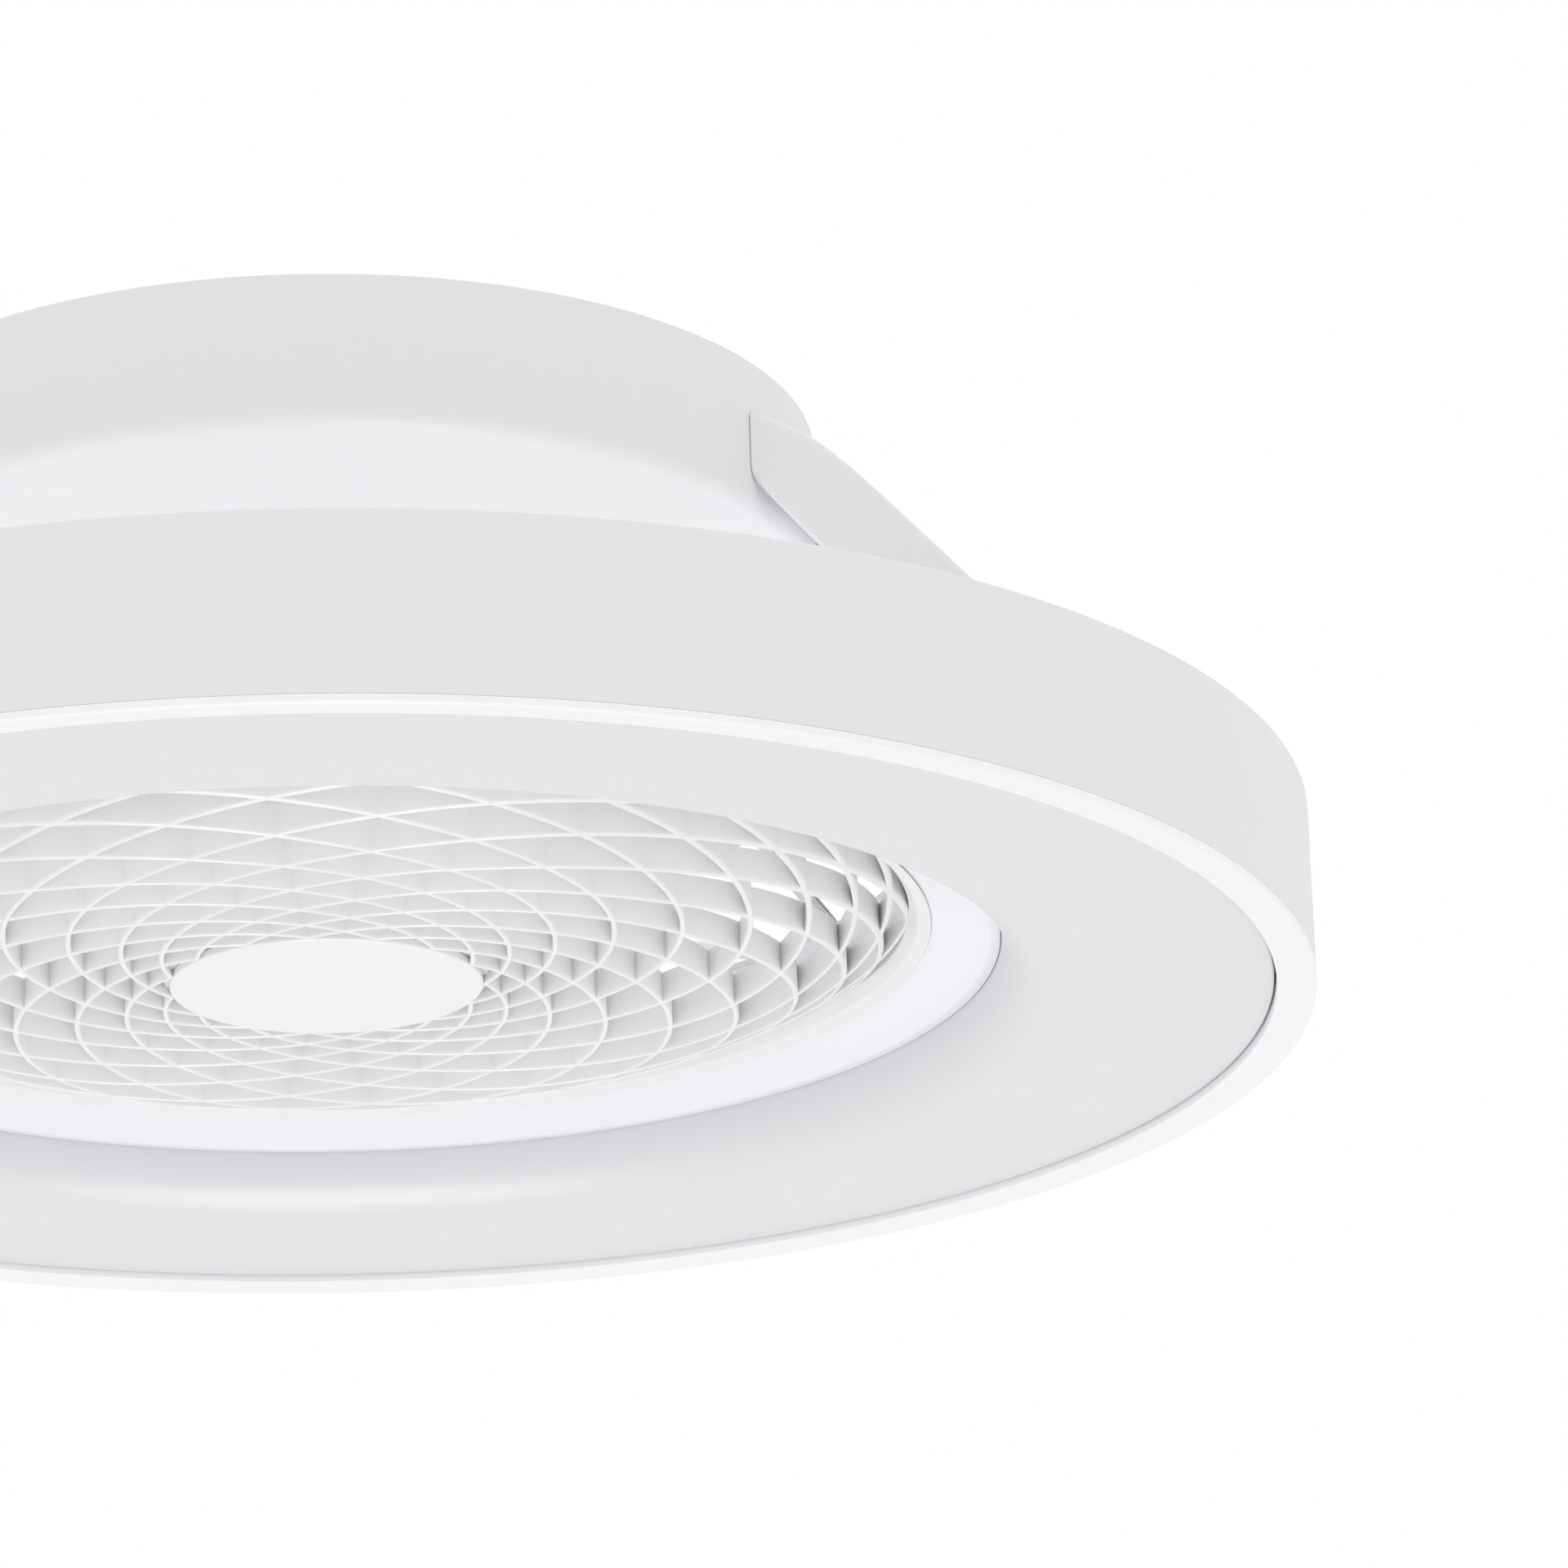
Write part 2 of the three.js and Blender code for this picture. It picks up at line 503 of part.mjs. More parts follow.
addPart('motor_end_bell', revolve([
  [5.2, MOTOR_LOW - 3], [bearingPocket + SHEET, MOTOR_LOW - 3], [bearingPocket + SHEET, MOTOR_LOW],
  [MOTOR_RADIUS, MOTOR_LOW], [MOTOR_RADIUS, MOTOR_LOW + 2], [bearingPocket, MOTOR_LOW + 2],
  [bearingPocket, MOTOR_LOW - 1.4], [5.2, MOTOR_LOW - 1.4],
], MOTOR_FACETS), ZINC);

function statorCore() {
  const bore = 26;
  const outer = MOTOR_BORE - GAP;
  const core = revolve([[bore, 76], [outer, 76], [outer, 88], [bore, 88]], MOTOR_FACETS);
  const slots = Array.from({ length: 9 }, (_, i) => spoke(block(9, 5, 74, 90).translate(33, 0, 0), i, 9));
  return cut(core, ...slots);
}
addPart('stator_core', statorCore(), LAMINATION);
addPart('stator_winding', revolve([
  [30, 88.3], [36, 88.3], ...arc(33, 90, 3, 0, 180, 3),
], MOTOR_FACETS), COPPER);

const bearing = (low) => revolve([
  [SHAFT_RADIUS + GAP, low], [BEARING_RADIUS, low], [BEARING_RADIUS, low + 6], [SHAFT_RADIUS + GAP, low + 6],
], MOTOR_FACETS);
addPart('bearing_upper', bearing(MOTOR_TOP - SHEET - GAP - 6), STEEL);
addPart('bearing_lower', bearing(MOTOR_LOW - 1.4 + GAP), STEEL);

// ---- impeller: shaft, magnets, hub, blades and nut turn together -----------------------------
addPart('motor_shaft', disc(SHAFT_RADIUS, HUB_LOW - 5.5, 91.5), STEEL);
addPart('rotor_magnets', revolve([
  [SHAFT_RADIUS + GAP, 76.5], [24.5, 76.5], [24.5, 86.5], [SHAFT_RADIUS + GAP, 86.5],
], MOTOR_FACETS), MAGNET);

function impellerHub() {
  const low = HUB_LOW;
  return revolve([
    [SHAFT_RADIUS + GAP, low], [HUB_RADIUS - 5, low], ...arc(HUB_RADIUS - 5, low + 5, 5, -45, 0, 1),
    [HUB_RADIUS, 88], [HUB_RADIUS - 2, 88], [HUB_RADIUS - 2, low + 5], [HUB_RADIUS - 5, low + 2.4],
    [12, low + 2.4], [10, low + 12], [SHAFT_RADIUS + GAP, low + 12],
  ], 4 * BLADES);
}
addPart('impeller_hub', impellerHub(), BLADE_WHITE);
addPart('hub_nut', cut(disc(7.5, HUB_LOW - 5, HUB_LOW - GAP, 6), disc(SHAFT_RADIUS + GAP, 44, 60)), STEEL);

// A blade is a grid of sections: each is a cambered strip, turned less steeply towards the tip.
function blade() {
  const spanSteps = 5;
  const chordSteps = 4;
  const thickness = 2.2;
  const rows = [];
  for (let i = 0; i <= spanSteps; i++) {
    const share = i / spanSteps;
    const radius = THREE.MathUtils.lerp(HUB_RADIUS + GAP, BLADE_TIP, share);
    const chord = 50 + 62 * share - 34 * share ** 3;
    const pitch = THREE.MathUtils.degToRad(33 - 19 * share);
    const sweep = 14 * Math.sin(Math.PI * share) - 10 * share;
    rows.push(sectionPoints(radius, chord, pitch, sweep, thickness, chordSteps));
  }
  return skinnedRows(rows);
}

function sectionPoints(radius, chord, pitch, sweep, thickness, chordSteps) {
  const points = [];
  for (const face of [-1, 1]) {
    for (let j = 0; j <= chordSteps; j++) {
      const share = (face < 0 ? j : chordSteps - j) / chordSteps - 0.5;
      const camber = 0.07 * chord * (1 - 4 * share * share);
      const half = (thickness / 2) * (1 - 2.2 * share * share);
      const along = share * chord;
      const up = camber + face * half;
      const tangential = along * Math.cos(pitch) - up * Math.sin(pitch) + sweep;
      const height = BLADE_LEVEL + along * Math.sin(pitch) + up * Math.cos(pitch);
      const reach = Math.sqrt(Math.max(radius * radius - tangential * tangential, 0));
      points.push(new THREE.Vector3(reach, tangential, level(height)));
    }
  }
  return points;
}

function skinnedRows(rows) {
  const count = rows[0].length;
  const positions = rows.flat().flatMap((point) => point.toArray());
  const triangles = [];
  for (let i = 0; i + 1 < rows.length; i++) {
    for (let j = 0; j < count; j++) {
      const next = (j + 1) % count;
      const [near, far] = [i * count, (i + 1) * count];
      triangles.push(near + j, near + next, far + next, near + j, far + next, far + j);
    }
  }
  const last = (rows.length - 1) * count;
  for (let j = 0; j + 1 < count / 2; j++) {
    const [a, b, c, d] = [j, j + 1, count - 2 - j, count - 1 - j];
    triangles.push(a, c, b, a, d, c);
    triangles.push(last + a, last + b, last + c, last + a, last + c, last + d);
  }
  const geometry = new THREE.BufferGeometry();
  geometry.setAttribute('position', new THREE.BufferAttribute(new Float32Array(positions), 3));
  geometry.setIndex(triangles);
  return geometry;
}
for (let i = 0; i < BLADES; i++) addPart(`blade_${i + 1}`, spoke(blade(), i, BLADES), BLADE_WHITE);

export default fan;
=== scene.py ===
"""A white flush ceiling fan enclosed in a ring lamp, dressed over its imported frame.

Metres, +Z up, the ceiling at Z = 0. Sizes in each section are millimetres, and heights are
measured up from the lamp's lowest edge, which hangs 201.5 mm below the ceiling.
"""

import bmesh
import bpy
import numpy as np
from mathutils import Euler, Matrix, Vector


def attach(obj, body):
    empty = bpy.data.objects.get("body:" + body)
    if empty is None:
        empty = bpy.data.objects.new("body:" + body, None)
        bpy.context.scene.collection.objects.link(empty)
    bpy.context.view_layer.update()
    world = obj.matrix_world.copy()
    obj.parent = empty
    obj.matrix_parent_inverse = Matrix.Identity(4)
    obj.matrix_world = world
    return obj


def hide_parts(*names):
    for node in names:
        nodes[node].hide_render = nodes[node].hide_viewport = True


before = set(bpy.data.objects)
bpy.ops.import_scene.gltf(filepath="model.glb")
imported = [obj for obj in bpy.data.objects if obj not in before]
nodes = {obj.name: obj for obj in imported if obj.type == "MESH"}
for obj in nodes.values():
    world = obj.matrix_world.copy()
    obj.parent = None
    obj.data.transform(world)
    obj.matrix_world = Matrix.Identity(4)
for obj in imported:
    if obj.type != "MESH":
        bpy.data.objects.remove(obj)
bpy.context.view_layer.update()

# ---------------------------------------------------------------------------------------
# Canopy drum. A spun steel cup, open at the ceiling, with a soft lower edge. It is powder
# coated in white: a satin coat with a very fine orange peel, which takes the sharpness out
# of every reflection. Two screws through its floor hold it to the ceiling plate.
MM = 0.001
CEILING = 201.5
CEILING_GAP = 0.6
DRUM_RADIUS = 166.0
DRUM_FLOOR = 150.0
DRUM_EDGE = 6.0
DRUM_HOLE = 12.0
THIN_WALL = 1.6
AROUND = 256
WEAR_PATCH = 40.0


def rounded_outline(corners, steps=6):
    """A closed outline with its corners rounded.

    Each corner is (x, y, radius). The arc's centre lies on the corner's bisector at
    radius / sin(half angle), and its points swing evenly from one side to the other.
    """
    points = []
    places = np.array([corner[:2] for corner in corners], float)
    for i, (x, y, radius) in enumerate(corners):
        corner = np.array([x, y], float)
        if radius <= 0:
            points.append(corner[None])
            continue
        before = places[i - 1] - corner
        after = places[(i + 1) % len(corners)] - corner
        before /= np.linalg.norm(before)
        after /= np.linalg.norm(after)
        half = np.arccos(np.clip(before @ after, -1, 1)) / 2
        reach = radius / np.tan(half)
        bisector = (before + after) / np.linalg.norm(before + after)
        centre = corner + bisector * radius / np.sin(half)
        first = (corner + before * reach - centre) / radius
        last = (corner + after * reach - centre) / radius
        swing = np.arccos(np.clip(first @ last, -1, 1))
        share = np.linspace(0, 1, steps + 1)[:, None]
        arc = (np.sin((1 - share) * swing) * first + np.sin(share * swing) * last) / np.sin(swing)
        points.append(centre + radius * arc)
    return np.concatenate(points)


def grid_faces(rows, columns, wrap_rows, wrap_columns):
    """Quads that join each point of a grid to its neighbours, as rows of vertex indices."""
    i = np.arange(rows if wrap_rows else rows - 1)
    j = np.arange(columns if wrap_columns else columns - 1)
    i, j = (a.ravel() for a in np.meshgrid(i, j, indexing="ij"))
    i2, j2 = (i + 1) % rows, (j + 1) % columns
    return np.stack([i * columns + j, i * columns + j2, i2 * columns + j2, i2 * columns + j], 1)


def turned(outline, around=AROUND):
    """A body of revolution: the closed outline of (radius, height) points turned about Z.

    A point at angle a has x = radius cos a, y = radius sin a, z = height below the ceiling.
    """
    angle = np.linspace(0, 2 * np.pi, around, endpoint=False)[:, None]
    radius, height = outline[:, 0], outline[:, 1] - CEILING
    points = np.stack([radius * np.cos(angle), radius * np.sin(angle), height + 0 * angle], -1)
    return points.reshape(-1, 3), [*grid_faces(around, len(outline), True, True)]


def solid(name, shells, finish, body, stands_for, crease=35):
    """Makes one piece of closed shells, each (points in mm, faces), turns its faces outwards
    and puts it on its body in place of the plain solids that it stands for."""
    faces = []
    start = 0
    for shell_points, shell_faces in shells:
        faces.extend((np.array(face) + start).tolist() for face in shell_faces)
        start += len(shell_points)
    mesh = bpy.data.meshes.new(name)
    mesh.from_pydata(np.concatenate([shell[0] for shell in shells]) * MM, [], faces)
    shape = bmesh.new()
    shape.from_mesh(mesh)
    bmesh.ops.recalc_face_normals(shape, faces=shape.faces)
    shape.to_mesh(mesh)
    shape.free()
    mesh.polygons.foreach_set("use_smooth", np.ones(len(mesh.polygons), bool))
    mesh.set_sharp_from_angle(angle=np.radians(crease))
    piece = bpy.data.objects.new(name, mesh)
    bpy.context.scene.collection.objects.link(piece)
    mesh.materials.append(finish)
    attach(piece, body)
    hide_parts(*stands_for)
    return piece


def linear(hex_colour):
    """An sRGB hex colour as linear red, green, blue and alpha.

    A dark channel is divided by 12.92. Any other has 0.055 added, is divided by 1.055 and
    raised to the power of 2.4.
    """
    value = np.array([int(hex_colour[i : i + 2], 16) for i in (1, 3, 5)]) / 255
    value = np.where(value <= 0.04045, value / 12.92, ((value + 0.055) / 1.055) ** 2.4)
    return (*value.tolist(), 1.0)


def add_node(owner, kind, settings=None, values=None, links=None):
    """Adds a node to a material or world, with its settings, its input values and the links
    to its inputs from other sockets."""
    node = owner.node_tree.nodes.new(kind)
    for key, value in (settings or {}).items():
        setattr(node, key, value)
    for key, value in (values or {}).items():
        node.inputs[key].default_value = value
    for key, socket in (links or {}).items():
        owner.node_tree.links.new(socket, node.inputs[key])
    return node


def moulded_or_coated(
    name, colour, roughness, grain_mm, grain_depth_mm, gloss_spread=0.05, metal=0.0
):
    """A finish with a fine surface grain: a noise that tilts the surface and varies its gloss.

    The grain's size and depth are real millimetres. Roughness swings by gloss_spread with a
    second, broader noise, as hand-level wear and uneven coating give.
    """
    material = bpy.data.materials.new(name)
    material.use_nodes = True
    shader = material.node_tree.nodes["Principled BSDF"]
    shader.inputs["Base Color"].default_value = linear(colour)
    shader.inputs["Metallic"].default_value = metal
    place = add_node(material, "ShaderNodeTexCoord").outputs["Object"]
    grain = add_node(
        material,
        "ShaderNodeTexNoise",
        values={"Scale": 1 / (grain_mm * MM), "Detail": 2.0},
        links={"Vector": place},
    )
    bump = add_node(
        material,
        "ShaderNodeBump",
        values={"Strength": 1.0, "Distance": grain_depth_mm * MM},
        links={"Height": grain.outputs["Fac"]},
    )
    broad = add_node(
        material,
        "ShaderNodeTexNoise",
        values={"Scale": 1 / (WEAR_PATCH * MM)},
        links={"Vector": place},
    )
    spread = add_node(
        material,
        "ShaderNodeMapRange",
        values={"To Min": roughness - gloss_spread, "To Max": roughness + gloss_spread},
        links={"Value": broad.outputs["Fac"]},
    )
    links = material.node_tree.links
    links.new(bump.outputs["Normal"], shader.inputs["Normal"])
    links.new(spread.outputs["Result"], shader.inputs["Roughness"])
    return material


# Polyester powder coat on steel: satin white, with an orange peel about a millimetre across,
# so that light spreads into broad, soft patches without a sharp edge.
POWDER_COAT = moulded_or_coated("White powder coat", "#e4e4e6", 0.55, 1.2, 0.012)

drum_outline = rounded_outline(
    [
        (DRUM_HOLE, DRUM_FLOOR, 0.3),
        (DRUM_RADIUS, DRUM_FLOOR, DRUM_EDGE),
        (DRUM_RADIUS, CEILING - CEILING_GAP, 0.5),
        (DRUM_RADIUS - THIN_WALL, CEILING - CEILING_GAP, 0.5),
        (DRUM_RADIUS - THIN_WALL, DRUM_FLOOR + THIN_WALL, DRUM_EDGE - THIN_WALL),
        (DRUM_HOLE, DRUM_FLOOR + THIN_WALL, 0.3),
    ]
)
drum_shell = turned(drum_outline)
solid("canopy_drum", [drum_shell], POWDER_COAT, "frame", ["canopy_shell"])

# ---------------------------------------------------------------------------------------
# Arms. Two broad sloping channels of folded steel in the same coat, open on their inner side.
# Each grows out of the drum's side wall and stands flat on the lamp's top. The outer plate
# bends over into a narrow flange at the front and at the back, with a radius of 2.5 mm.
ARM_HALF_WIDTH = 89.8
ARM_WALL = 2.5
ARM_FOOT = 61.3
ARM_HEEL = 229.2
ARM_PAD = 9.0
FLANGE_EDGE = 0.8
PLATE_OVERLAP = 0.2
DRUM_GAP = 0.3
FACE_STEPS = 48
PLATE_STEPS = 41
BEND_STEPS = 8
DROP_STEPS = 6


def curve_through(knots, steps=8):
    """A smooth line through the knots: a cubic between each two.

    At a knot the line runs parallel to the chord from the knot before to the knot after.
    """
    knots = np.array(knots, float)
    padded = np.concatenate([2 * knots[:1] - knots[1:2], knots, 2 * knots[-1:] - knots[-2:-1]])
    a, b, c, d = (part[:, None] for part in (padded[:-3], padded[1:-2], padded[2:-1], padded[3:]))
    s = np.linspace(0, 1, steps, endpoint=False)[:, None]
    pieces = b + 0.5 * s * (c - a + s * (2 * a - 5 * b + 4 * c - d + s * (3 * (b - c) + d - a)))
    return np.concatenate([pieces.reshape(-1, 2), knots[-1:]])


# The outer face and the flange's free edge seen from the front, as (distance out, height).
arm_face = curve_through(
    [
        (110, 195.5),
        (125, 189.5),
        (140, 183.5),
        (150, 179.6),
        (160, 174.3),
        (169.2, 166.9),
        (181.5, 155),
        (207.7, 127.8),
        (236, 97.4),
        (264, 64.1),
        (278, 47.4),
    ]
)
flange_line = np.array(
    [(139, 166), (139.8, 163), (140.2, 161.3), (141, 159.6), (142.6, 157.9), (260, 27)]
)


def sunk_face(depth, start, end_height):
    """The outer face moved inwards by a depth along its normal, from x = start to a height."""
    slope = np.gradient(arm_face[:, 1], arm_face[:, 0])
    normal = np.stack([slope, np.full_like(slope, -1)], 1) / np.hypot(slope, 1)[:, None]
    sunk = arm_face + depth * normal
    end = np.interp(-end_height, -sunk[:, 1], sunk[:, 0])
    x = start + (end - start) * np.linspace(0, 1, FACE_STEPS)
    return np.stack([x, np.interp(x, sunk[:, 0], sunk[:, 1])], 1)


def edge_inset(outside, radius):
    """How far a rounded edge is drawn in, at a distance from the arm's end face.

    It is the radius less the root of radius squared minus (radius - distance) squared.
    """
    past = np.maximum(radius - outside, 0)
    return radius - np.sqrt(radius**2 - past**2)


def drum_wall(y):
    """How far out the drum's wall is at y across: the root of radius squared minus y squared."""
    return np.sqrt((DRUM_RADIUS + DRUM_GAP) ** 2 - y**2)


def flange_section(y, outside):
    """The flange at one place across: down the drum's wall, then along its free edge and the
    foot, and back up the face. Both edges are drawn in towards the arm's end face."""
    wall = drum_wall(y)
    face = sunk_face(edge_inset(outside, ARM_WALL), wall, ARM_FOOT)
    rise = edge_inset(outside, FLANGE_EDGE) / np.sqrt(2)
    x = np.linspace(wall, ARM_HEEL + 2 * rise, FACE_STEPS)
    low = np.maximum(np.interp(x - rise, *flange_line.T) + rise, ARM_FOOT)
    down = np.linspace(face[0, 1], low[0], DROP_STEPS)[1:-1]
    return np.concatenate([np.stack([0 * down + wall, down], 1), np.stack([x, low], 1), face[::-1]])


def plate_section(y):
    """The outer plate at one place across, with the solid pad that stands on the lamp."""
    wall = drum_wall(y)
    pad = [(ARM_HEEL, ARM_FOOT), (ARM_HEEL - ARM_PAD, ARM_FOOT + ARM_PAD)]
    inner = sunk_face(ARM_WALL, wall, ARM_FOOT + ARM_PAD)
    return np.concatenate([sunk_face(0, wall, ARM_FOOT), pad, inner[::-1]])


def closed_tube(rows):
    """A shell through rows of points: each row is a closed loop, and both ends are capped."""
    count, around = rows.shape[:2]
    cap = np.arange(around)
    faces = [*grid_faces(count, around, False, True), cap, (count - 1) * around + cap]
    return rows.reshape(-1, 3), faces


def skinned(sections, across, side):
    """A shell through sections of (x, height), one at each place across. A side of -1 turns it
    half way round the axis."""
    rows = np.array(
        [
            np.stack([x, 0 * x + y, height - CEILING], 1)
            for (x, height), y in zip(map(np.transpose, sections), across)
        ]
    )
    rows[..., :2] *= side
    return closed_tube(rows)


def arm(side):
    """One arm: the outer plate and its front and back flanges.

    A flange's sections crowd towards its end face, as 1 - cos of even angles.
    """
    outside = ARM_WALL * (1 - np.cos(np.linspace(0, np.pi / 2, BEND_STEPS)))
    flanges = []
    for end in (1, -1):
        sections = [flange_section(end * (ARM_HALF_WIDTH - depth), depth) for depth in outside]
        flanges.append(skinned(sections, end * (ARM_HALF_WIDTH - outside), side))
    reach = ARM_HALF_WIDTH - ARM_WALL + PLATE_OVERLAP
    across = np.linspace(-reach, reach, PLATE_STEPS)
    return [skinned([plate_section(y) for y in across], across, side), *flanges]


for place, side in (("right", 1), ("left", -1)):
    solid(
        f"sloping_arm_{place}",
        arm(side),
        POWDER_COAT,
        "frame",
        [f"arm_{place}"],
        crease=40,
    )

# ---------------------------------------------------------------------------------------
# Lamp housing and its rim. The housing is a pressed tray: a straight wall, a flat top and a
# short turned-down inner edge. The rim below it is a moulding in the same white, a flat
# band 13 mm wide with a soft outer corner, that holds the opal face. Its colour is set a
# shade whiter than the coat's: painted light for the brightness its downward face catches.
LAMP_RADIUS = 325.0
LAMP_TOP = 61.0
TRAY_TURN_DOWN = 9.0
RIM_WIDTH = 13.0
RIM_HEIGHT = 2.9
RIM_SLOPE = 1.3
RIM_WALL = 1.8
RIM_SEAM = 0.1
RIM_GROOVE = 2.2
RIM_UPSTAND = 8.0
FIT_GAP = 0.3
AIRWAY_RADIUS = 195.5

tray_inner = AIRWAY_RADIUS + THIN_WALL + FIT_GAP
tray_outline = rounded_outline(
    [
        (LAMP_RADIUS, RIM_HEIGHT + RIM_SEAM, 0),
        (LAMP_RADIUS, LAMP_TOP, 1.2),
        (tray_inner, LAMP_TOP, 1.2),
        (tray_inner, LAMP_TOP - TRAY_TURN_DOWN, 0.4),
        (tray_inner + THIN_WALL, LAMP_TOP - TRAY_TURN_DOWN, 0.4),
        (tray_inner + THIN_WALL, LAMP_TOP - THIN_WALL, 0.4),
        (LAMP_RADIUS - THIN_WALL, LAMP_TOP - THIN_WALL, 0.8),
        (LAMP_RADIUS - THIN_WALL, RIM_HEIGHT + RIM_SEAM, 0),
    ]
)
tray_shell = turned(tray_outline)
solid("lamp_tray", [tray_shell], POWDER_COAT, "frame", ["ring_housing"])

rim_inner = LAMP_RADIUS - RIM_WIDTH
rim_hook = LAMP_RADIUS - THIN_WALL - FIT_GAP
rim_outline = rounded_outline(
    [
        (rim_inner, RIM_SLOPE, 0.35),
        (LAMP_RADIUS, 0, 1.4),
        (LAMP_RADIUS, RIM_HEIGHT, 0),
        (rim_hook, RIM_HEIGHT, 0),
        (rim_hook, RIM_UPSTAND, 0.4),
        (rim_hook - THIN_WALL, RIM_UPSTAND, 0.4),
        (rim_hook - THIN_WALL, RIM_GROOVE, 0.4),
        (rim_inner + THIN_WALL, RIM_SLOPE + RIM_WALL, 0.4),
        (rim_inner + THIN_WALL, RIM_UPSTAND, 0.4),
        (rim_inner, RIM_UPSTAND, 0.4),
    ]
)
# A moulded band, a little smoother than the coat. Its colour is whiter than the coat's: a
# painted highlight standing in for the light its lower face catches from below, so that it
# shows as the lightest ring of the fan.
RIM_COAT = moulded_or_coated("White moulded rim, satin", "#f3f3f5", 0.5, 1.2, 0.008)
solid("lamp_rim", [turned(rim_outline)], RIM_COAT, "frame", ["rim_trim"])

# ---------------------------------------------------------------------------------------
# Opal face. A ring of translucent acrylic, unlit, so it looks like soft grey milk glass. It
# is flat and sunk about 2 mm into the rim, and its inner part turns up in a quarter-round
# shoulder and ends in a short straight edge behind the duct's lip.
FACE_HEIGHT = 3.6
FACE_GAP = 0.8
FACE_MOUTH = 222.6
SHOULDER = 21.6
SHOULDER_STEPS = 28
STRAIGHT_EDGE = 2.0
OPAL_WALL = 2.0
BEAD_LOW = 6.0
BEAD_TOP = 11.0

face_outer = rim_inner - FACE_GAP
shoulder_angle = np.radians(np.linspace(-90, -180, SHOULDER_STEPS))[:, None]
shoulder_centre = np.array([FACE_MOUTH + SHOULDER, FACE_HEIGHT + SHOULDER])
swing = np.concatenate([np.cos(shoulder_angle), np.sin(shoulder_angle)], 1)
mouth_top = shoulder_centre[1] + STRAIGHT_EDGE
bead = rounded_outline(
    [
        (face_outer - OPAL_WALL, BEAD_TOP, 0.4),
        (rim_inner - FIT_GAP, BEAD_TOP, 0.4),
        (rim_inner - FIT_GAP, BEAD_LOW, 0.4),
    ]
)
# Only the arc round the middle point is kept. The other two give its directions.
outer_corner = rounded_outline(
    [
        (face_outer, BEAD_LOW + 1, 0),
        (face_outer, FACE_HEIGHT, 0.8),
        (face_outer - 5, FACE_HEIGHT, 0),
    ]
)[1:-1]
face_outline = np.concatenate(
    [
        bead,
        outer_corner,
        shoulder_centre + SHOULDER * swing,
        [[FACE_MOUTH, mouth_top], [FACE_MOUTH + OPAL_WALL, mouth_top]],
        shoulder_centre + (SHOULDER - OPAL_WALL) * swing[::-1],
        [[face_outer - OPAL_WALL, FACE_HEIGHT + OPAL_WALL]],
    ]
)
# Opal acrylic with the lamp off: an even milky grey, with a soft gloss that draws one long
# highlight along the shoulder.
OPAL = moulded_or_coated("Opal acrylic, satin", "#e0e0e3", 0.42, 2.0, 0.004, gloss_spread=0.03)
solid("opal_face", [turned(face_outline)], OPAL, "frame", ["diffuser"])

# ---------------------------------------------------------------------------------------
# Air duct. A glossy cool-white moulding around the airway: a flat lip beside the opal
# shoulder, a shallow cone, a soft bend, a straight collar up through the lamp and a flange.
DUCT_MOUTH = 222.4
DUCT_MOUTH_HEIGHT = 24.3
DUCT_LIP = 3.8
DUCT_LIP_WALL = 2.0
CONE_TOP = 32.7
CONE_WALL = 2.6
DUCT_FLANGE = 11.0

collar = AIRWAY_RADIUS + THIN_WALL
flange = LAMP_TOP + FIT_GAP
duct_outline = rounded_outline(
    [
        (AIRWAY_RADIUS, CONE_TOP, 5.5),
        (DUCT_MOUTH - DUCT_LIP, DUCT_MOUTH_HEIGHT, 2.0),
        (DUCT_MOUTH, DUCT_MOUTH_HEIGHT, 0.6),
        (DUCT_MOUTH, DUCT_MOUTH_HEIGHT + DUCT_LIP_WALL, 0.4),
        (DUCT_MOUTH - DUCT_LIP, DUCT_MOUTH_HEIGHT + DUCT_LIP_WALL, 0.5),
        (collar, CONE_TOP + CONE_WALL, 2.0),
        (collar, flange, 0.3),
        (collar + DUCT_FLANGE, flange, 0.3),
        (collar + DUCT_FLANGE, flange + THIN_WALL, 0.5),
        (AIRWAY_RADIUS, flange + THIN_WALL, 0.8),
    ]
)
# Injection-moulded and polished: a cool white with a clear gloss, so that the bend and the
# lip catch a thin bright line.
DUCT_PLASTIC = moulded_or_coated("Glossy white ABS", "#f0f2f5", 0.22, 3.0, 0.002, gloss_spread=0.03)
solid("duct_moulding", [turned(duct_outline)], DUCT_PLASTIC, "frame", ["air_duct"])

# ---------------------------------------------------------------------------------------
# Grille. One fine satin white moulding: fifteen left-hand and fifteen right-hand fins cross
# between a cap and an outer ring, whose thin lip lies on the duct's bend. The fins are
# upright walls 10.5 mm deep with rounded lower edges, and the plain cap snaps on below.
FIN_INNER = 52.0
FIN_OUTER = 193.0
FINS_PER_HAND = 15
FIN_SWEEP = np.radians(192)
FIN_EASE = 0.388
FIN_EASE_FINE = 0.0095
FIN_BULGE = 0.101
FIN_DEPTH = 10.5
FIN_HALF_LOW = 0.85
FIN_HALF_TOP = 0.7
FIN_WIDENING = 0.3
FIN_STEPS = 129
GRILLE_LOW = 16.0
GRILLE_FLAT = 128.0
GRILLE_RISE = 20.1
GRILLE_GAP = 0.4
RING_WALL = 2.6
RING_LIP = 4.5
CAP_RADIUS = 51.6


def fin_radius(share):
    """Radius after a share of the run: slow at both ends and quicker in the middle, by two
    sine waves, with a bulge of share times (1 - share)."""
    turns = 2 * np.pi * share
    waves = FIN_EASE * np.sin(turns) - FIN_EASE_FINE * np.sin(2 * turns)
    eased = share - waves / (2 * np.pi)
    return FIN_INNER + (FIN_OUTER - FIN_INNER) * (eased + FIN_BULGE * share * (1 - share))


